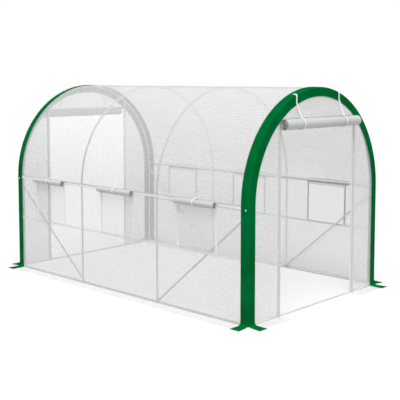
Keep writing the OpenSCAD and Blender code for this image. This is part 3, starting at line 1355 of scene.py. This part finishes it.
@dataclass
class EndWall(WallPart):
    """One end wall: its sheet with the doorway, ground flaps, zips, rolled door and ties."""

    inner_r: float = 0.5
    rings: int = 16
    lip_steps: int = 4
    arch_steps: int = 100
    leg_cuts: int = 32
    cut_past: float = 0.01
    flap_cell: Point = (0.02, 0.025)
    flap_folds: float = 5.0
    flap_seed: float = 5.0
    tape_t: float = 0.0014
    tape_cell: Point = (0.0075, 0.03)
    tooth: tuple[float, float, float] = (0.0018, 0.004, 0.0032)
    tooth_pitch: float = 0.0062
    door_w: float = 1.14
    door_l: float = 1.75
    door_shift: float = 0.025
    roll_across: float = 0.1
    roll_core: float = 0.012
    roll_back: float = 0.0023
    tuck: float = 0.08
    door_seed: float = 31.0
    tie_x: float = 0.33
    tie_slack: float = math.radians(48)
    tie_w: float = 0.018
    tie_t: float = 0.0015
    tie_lap: float = 0.022
    tie_leave: float = 0.02
    tie_steps: int = 6
    band_t: float = 0.002

    @property
    def door_middle(self) -> float:
        """Place along the wall of the rolled door's middle, to the left of the tunnel's middle."""
        return self.door_shift * math.sin(self.wall.value)

    def build(self) -> None:
        """Build the wall and what hangs on it."""
        self.sheet()
        self.zips()
        self.rolled_door()
        for word, turn in HANDS:
            self.ground_flap(word, turn)
            self.tie(word, turn)

    def on_wall(self, at: Vector) -> Vector:
        """Where a point of the wall lies once the sheet hangs slack."""
        return Vector((at.x + self.plan.face(self.wall, at.y, at.z), at.y, at.z))

    def sheet(self) -> None:
        """Hang the wall's sheet, with a lip that turns the corner round the end hoop."""
        plan, cloth = self.plan, bmesh.new()
        ring = (plan.hoop_r - self.inner_r) / self.rings
        reaches = [self.inner_r + ring * k for k in range(self.rings + 1)]
        start, *points = [(0, reach, plan.shoulder) for reach in reaches]
        corner = draw_on(cloth, [cloth.verts.new(start)], points)
        bmesh.ops.spin(cloth, geom=corner, cent=(-plan.corner, plan.hoop_r, plan.shoulder),
                       axis=(0, 0, 1), angle=math.pi / 2, steps=self.lip_steps)
        sweep_arch(cloth, plan, 0.0, self.arch_steps, self.leg_cuts)
        top = plan.door_head - plan.zip
        cut_out(cloth, (-plan.door_half, -self.cut_past), (plan.door_half, top), (1, 2))
        keep_cut(cloth, lambda p: (p.y, p.z))
        bend(cloth, self.on_wall)
        lip = plan.corner * math.pi / 2
        size = (2 * (plan.hoop_r + lip), plan.shoulder + plan.hoop_r + lip)
        face = math.pi * plan.hoop_r**2 / 2 + 2 * plan.hoop_r * plan.shoulder
        edge = math.pi * plan.hoop_r + 2 * plan.shoulder
        area = face + edge * lip - 2 * plan.door_half * top
        tubes = tuple(f"{self.name}_{tube}" for tube in ("hoop", "door_posts", "sill"))
        cut = Cut(size, plan.sheet, rests_on=tubes, area=area)
        self.add(cloth, "wall_sheet", self.finishes.wall_film, "wall", cut)

    def ground_flap(self, word: str, turn: int) -> None:
        """Lay the flap beside the doorway.

        Args:
            word: The side that it lies on.
            turn: Which way along the wall that is, as 1 or -1.
        """
        near, far = self.plan.door_half, self.plan.clear_r
        low, high = sorted((turn * near, turn * far))
        turned = self.wall.value + self.flap_seed
        flap = GroundFlap(low, high, far, turned, self.flap_folds, self.flap_cell)
        self.add(flap.build(), f"{word}_ground_sheet", self.finishes.wall_film, "ground_flaps",
                 flap.cut())

    def zips(self) -> None:
        """Sew zip tapes up both sides of the doorway with their teeth, and the tape over it."""
        plan = self.plan
        top = plan.door_head - plan.zip - plan.seat
        low, high = plan.door_half, plan.door_half + plan.zip
        self.tape("right_zip_tape", (low, 0.0), (high, top))
        self.tape("left_zip_tape", (-high, 0.0), (-low, top))
        self.tape("head_tape", (-high, plan.door_head - plan.zip), (high, plan.door_head))
        teeth = bmesh.new()
        out = plan.seat + self.tape_t + self.tooth[0] / 2
        for k in range(int(top / self.tooth_pitch)):
            for turn in (-1, 1):
                along, up = turn * (low + self.tooth[1]), (k + 0.5) * self.tooth_pitch
                block(teeth, (out, along, up), self.tooth)
        self.add(teeth, "zip_teeth", self.finishes.teeth, "door_zip")

    def tape(self, name: str, low: Point, high: Point) -> None:
        """Sew one zip or head tape on.

        Args:
            name: The tape's name without its end.
            low: Its lower corner on the wall.
            high: Its upper corner.
        """
        strip = flat_cut(low, high, self.tape_cell)
        lift = self.plan.seat + self.tape_t
        inner, outer = max(low[0], min(high[0], 0.0)), max(-low[0], high[0])

        def laid(flat: Vector) -> Vector:
            """Where a point of the tape lies, drawn in where it would run under the band."""
            room = (self.plan.clear_half(flat.y) - abs(inner)) / (outer - abs(inner))
            return Vector((lift, inner + (flat.x - inner) * min(1.0, room), flat.y))

        bend(strip, laid)
        size = (high[0] - low[0], high[1] - low[1])
        cut = Cut(size, self.tape_t, rests_on=(f"{self.name}_wall_sheet",))
        self.add(strip, name, self.finishes.zip_tape, "door_zip", cut)

    def rolled_door(self) -> None:
        """Roll up the door sheet outside the wall, over the doorway."""
        seed = self.door_seed + self.wall.value
        roll = Roll(
            self.door_w, self.door_l, self.roll_across, self.roll_core, seed, tuck=self.tuck
        )
        place = Matrix.Translation((self.roll_back, self.door_middle, self.plan.door_head))
        self.add(roll.build(), "rolled_door", self.finishes.shaded_rolled_film, "door_roll",
                 roll.cut(f"{self.name}_head_tape"), place)

    def tie(self, word: str, turn: int) -> None:
        """Hang a tie over the band's edge, down its face and round the rolled door.

        Args:
            word: The side that it hangs on.
            turn: Which way along the wall that is, as 1 or -1.
        """
        plan, roll_r = self.plan, self.roll_across / 2
        along = self.door_middle + turn * self.tie_x
        rise = math.sqrt((plan.half_w + self.band_t) ** 2 - along**2)
        crest = plan.shoulder + rise - plan.door_head + self.tie_t
        edge = math.sqrt((plan.half_w - plan.band) ** 2 - along**2)
        face = self.band_t + self.tie_t + plan.seat
        bend_r = plan.corner + face
        over = [(-plan.corner - self.tie_lap, crest)]
        for k in range(self.tie_steps + 1):
            angle = math.pi / 2 * k / self.tie_steps
            out, down = bend_r * math.sin(angle), bend_r * (1 - math.cos(angle))
            over.append((out - plan.corner, crest - down))
        leave = (face, plan.shoulder + edge - plan.door_head + self.tie_leave)
        centre = (self.roll_back + roll_r, -roll_r)
        wrapped = wrap_path(leave, centre, roll_r + self.tie_t, self.tie_slack)
        strap = Strap(self.tie_w, self.tie_t, (*over, leave, *wrapped), along / rise)
        place = Matrix.Translation((0, along, plan.door_head))
        self.add(strap.build(), f"{word}_tie", self.finishes.tape, "door_ties",
                 strap.cut(f"{self.name}_band"), place)


@dataclass
class EdgeBand(WallPart):
    """Green band folded over the corner at one end, with splayed tabs and push-in caps."""

    thickness: float = 0.0012
    face: float = 0.0018
    foot: float = 0.004
    hem: float = 0.012
    hem_step: float = 0.001
    hem_lift: float = 0.0008
    fold_steps: int = 6
    arch_steps: int = 110
    leg_cuts: int = 36
    pucker: float = 0.0012
    pucker_share: float = 0.8
    pucker_rate: Point = (14.0, 8.0)
    tab_l: float = 0.14
    tab_lap: float = 0.014
    tab_lift: float = 0.0018
    tab_wave: float = 0.0025
    tab_rate: Point = (18.0, 14.0)
    tab_sink: float = 0.0002
    tab_cell: Point = (0.006, 0.0075)
    bend_r: float = 0.029
    flare: float = 0.017
    cap_r: float = 0.0075
    cap_h: float = 0.004
    cap_in: float = 0.03
    cap_up: float = 0.995
    cap_profile: tuple[Point, ...] = ((0, 0), (1, 0), (1, 0.5), (0.7, 0.9), (0, 1))
    cap_steps: int = 20

    def build(self) -> None:
        """Build the band, its tabs and its caps."""
        plan = self.plan
        self.band()
        for word, turn in HANDS:
            end = Matrix.Translation((0, turn * (plan.half_w - plan.band / 2), 0))
            self.tab(f"{word}_end_tab", end, turn)
            side = Matrix.Translation((-plan.band / 2, turn * plan.half_w, 0))
            self.tab(f"{word}_side_tab", side @ Matrix.Rotation(turn * math.pi / 2, 4, "Z"), -turn)
        self.caps()

    def band(self) -> None:
        """Sweep the band's section round the end outline, with a hem along both edges."""
        plan, cloth = self.plan, bmesh.new()
        inner, outer = plan.half_w - plan.band, plan.half_w + self.face
        hem, lift = self.hem + self.hem_step, self.face + self.hem_lift
        section = [(lift, inner), (lift, inner + self.hem), (self.face, inner + hem)]
        section += [(self.face, inner + (plan.hoop_r - inner) * k / 4) for k in (1, 2, 3, 4)]
        start, *points = [(out, reach, plan.shoulder) for out, reach in section]
        corner = draw_on(cloth, [cloth.verts.new(start)], points)
        spun = bmesh.ops.spin(
            cloth, geom=corner, cent=(-plan.corner, plan.hoop_r, plan.shoulder), axis=(0, 0, 1),
            angle=math.pi / 2, steps=self.fold_steps,
        )
        corner = [v for v in spun["geom_last"] if isinstance(v, BMVert)]
        flat = plan.band - plan.corner
        section = [(-plan.corner - flat * k / 4, outer) for k in (1, 2, 3)]
        section += [(hem - plan.band, outer), (self.hem - plan.band, outer + self.hem_lift),
                    (-plan.band, outer + self.hem_lift)]
        draw_on(cloth, corner, [(out, reach, plan.shoulder) for out, reach in section])
        sweep_arch(cloth, plan, self.foot, self.arch_steps, self.leg_cuts)
        keep_cut(cloth, self.on_cut)
        bend(cloth, self.puckered)
        length = math.pi * plan.half_w + 2 * (plan.shoulder - self.foot)
        sheets = ("roof_sheet", f"{self.name}_wall_sheet")
        cut = Cut((2 * plan.band, length), self.thickness, rests_on=sheets)
        self.add(cloth, "band", self.finishes.band, "edge_band", cut)

    def on_cut(self, at: Vector) -> Point:
        """Find where a point of the band lies on the flat strip.

        Args:
            at: The point.

        Returns:
            Its place across and along the strip.
        """
        plan, rise = self.plan, at.z - self.plan.shoulder
        if rise > 0:
            along = plan.half_w * math.atan2(rise, at.y)
        else:
            along = rise if at.y > 0 else math.pi * plan.half_w - rise
        if at.x > -plan.corner / 2:
            return math.hypot(at.y, max(rise, 0.0)) - plan.half_w + plan.band, along
        return plan.band - at.x, along

    def puckered(self, at: Vector) -> Vector:
        """Pucker the flat face, where the cloth is gathered round the arch.

        Args:
            at: A point of the smooth band.

        Returns:
            Its place on the puckered one.
        """
        across, along = self.on_cut(at)
        gathered = 1 - across / (self.plan.band * self.pucker_share)
        if gathered <= 0 or at.z <= self.plan.shoulder:
            return at
        long, wide = self.pucker_rate
        wave = 1 + noise.noise(Vector((along * long, across * wide, self.wall.value)))
        return at + Vector((self.pucker * gathered * wave, 0, 0))

    def tab(self, name: str, place: Matrix, corner: int) -> None:
        """Lay a tab at the foot of the band, which turns out on to the ground and flares.

        Args:
            name: The tab's name without its end.
            place: Frame of the tab, with X out from the wall.
            corner: Which way along Y the tunnel's corner lies, as 1 or -1.
        """
        plan, bend_r = self.plan, self.bend_r
        arc, half = bend_r * math.pi / 2, plan.band / 2
        skin = self.face + self.thickness + plan.seat
        run = self.tab_l - skin - bend_r
        low = self.thickness + self.tab_lift
        seed = len(name) + self.wall.value

        def laid(flat: Vector) -> Vector:
            """Lay one point down the band, round the bend and out with a flare.

            Args:
                flat: Its place on the flat cut.

            Returns:
                Its place on the tab.
            """
            share = max(0.0, flat.x - arc / 2) / (run + arc / 2)
            wide = flat.y + corner * self.flare * share * (0.5 + corner * flat.y / plan.band)
            if flat.x < 0:
                return Vector((skin, wide, low + bend_r - flat.x))
            if flat.x < arc:
                angle = flat.x / bend_r
                out, up = bend_r * (1 - math.cos(angle)), bend_r * (1 - math.sin(angle))
                return Vector((skin + out, wide, low + up))
            out = flat.x - arc
            rate = self.tab_rate
            wave = noise.noise(Vector((wide * rate[0], out * rate[1], seed)))
            lift = self.tab_wave * max(0.0, wave) - self.tab_lift * (out / run) ** 2
            return Vector((skin + bend_r + out, wide, low + max(lift, -self.tab_sink)))

        cloth = flat_cut((-self.tab_lap, -half), (arc + run, half), self.tab_cell)
        keep_cut(cloth, lambda p: (p.y + plan.band, p.x))
        bend(cloth, laid)
        size = (plan.band + self.flare, self.tab_lap + arc + run)
        cut = Cut(size, self.thickness, Held.LAID, (f"{self.name}_band",))
        self.add(cloth, name, self.finishes.band, "corner_tabs", cut, place)

    def caps(self) -> None:
        """Spin white push-in caps on the band's side faces, just under the shoulder."""
        caps = bmesh.new()
        base = self.plan.half_w + self.face
        for turn in (-1, 1):
            start, *points = [
                (self.cap_r * wide - self.cap_in, turn * (base + self.cap_h * high), self.cap_up)
                for wide, high in self.cap_profile
            ]
            draw_on(caps, [caps.verts.new(start)], points)
            ring = [e for e in caps.edges if not e.link_faces]
            verts = {v for e in ring for v in e.verts}
            bmesh.ops.spin(caps, geom=[*verts, *ring], cent=(-self.cap_in, 0, self.cap_up),
                           axis=(0, 1, 0), angle=2 * math.pi, steps=self.cap_steps, use_merge=True)
        bmesh.ops.remove_doubles(caps, verts=caps.verts[:], dist=1e-5)
        bmesh.ops.recalc_face_normals(caps, faces=caps.faces[:])
        self.add(caps, "band_caps", self.finishes.teeth)


@dataclass
class Studio:
    """Pale floor, soft light and the camera."""

    floor_r: float = 40.0
    floor_sides: int = 96
    floor_drop: float = 0.0015
    floor_tint: Colour = (0.86, 0.86, 0.86, 1.0)
    floor_bounce: Colour = (0.5, 0.5, 0.5, 1.0)
    floor_white: float = 0.6
    dome_low: float = 0.19
    dome_high: float = 0.95
    sun_strength: float = 2.0
    sun_angle: float = math.radians(35)
    sun_from: tuple[float, float, float] = (-0.37, -0.34, 0.865)
    eye: tuple[float, float, float] = (-6.202, -6.03, 2.095)
    yaw: float = math.radians(46.626)
    pitch: float = math.radians(-4.967)
    sensor: float = 36.0
    lens: float = 73.789
    shift_up: float = -0.125
    clear_layers: int = 64

    def build(self) -> None:
        """Set the stage."""
        scene = bpy.context.scene
        scene.view_settings.view_transform = "Standard"
        scene.cycles.transparent_max_bounces = self.clear_layers
        self.floor()
        self.light()
        self.camera()

    def floor(self) -> None:
        """Lay a round pale floor that keeps the tunnel's shadow."""
        disc = bmesh.new()
        bmesh.ops.create_circle(
            disc, cap_ends=True, radius=self.floor_r, segments=self.floor_sides
        )
        bmesh.ops.translate(disc, verts=disc.verts[:], vec=(0, 0, -self.floor_drop))
        mesh = bpy.data.meshes.new("studio_floor")
        disc.to_mesh(mesh)
        disc.free()
        material = bpy.data.materials.new("studio_floor")
        s = Shader(material)
        dull, lit = (
            s.node("ShaderNodeBsdfDiffuse", inputs={"Color": tint})
            for tint in (self.floor_bounce, self.floor_tint)
        )
        white = s.node("ShaderNodeEmission", inputs={"Color": WHITE, "Strength": 1.0})
        s.surface(s.mix(s.seen(), dull, s.mix(self.floor_white, lit, white)))
        mesh.materials.append(material)
        put("studio_floor", mesh)

    def light(self) -> None:
        """Hang a dome of light that is strongest overhead, and one soft sun."""
        world = bpy.data.worlds.new("studio")
        bpy.context.scene.world = world
        s = Shader(world)
        way = s.node("ShaderNodeTexCoord", output="Generated")
        height = s.axes(way).also("Z") | 0.0
        low, high, white = (
            s.node("ShaderNodeBackground", inputs={"Color": WHITE, "Strength": strength})
            for strength in (self.dome_low, self.dome_high, 1.0)
        )
        s.surface(s.mix(s.seen(), s.mix(height, low, high), white), "ShaderNodeOutputWorld")
        lamp = bpy.data.lights.new("soft_sun", "SUN")
        lamp.energy, lamp.angle = self.sun_strength, self.sun_angle
        sun = put("soft_sun", lamp)
        sun.rotation_mode = "QUATERNION"
        sun.rotation_quaternion = Vector(self.sun_from).to_track_quat("Z", "Y")

    def camera(self) -> None:
        """Stand the camera off the front left corner, at the height of the ridge."""
        data = bpy.data.cameras.new("camera")
        data.sensor_width, data.lens, data.shift_y = self.sensor, self.lens, self.shift_up
        data.dof.use_dof = False
        camera = put("camera", data)
        camera.location = self.eye
        camera.rotation_euler = (math.pi / 2 + self.pitch, 0, -self.yaw)
        bpy.context.scene.camera = camera


def main() -> None:
    """Build the tunnel's parts in order and set the stage."""
    logging.basicConfig(level=logging.INFO, format="%(name)s %(message)s")
    plan, finishes = Plan(), Finishes()
    TubeFrame(plan, finishes).build()
    Roof(plan, finishes).build()
    for side in SIDES:
        SideWall(plan, finishes, side).build()
    for end in ENDS:
        EndWall(plan, finishes, end).build()
        EdgeBand(plan, finishes, end).build()
    Studio().build()


if __name__ == "__main__":
    main()
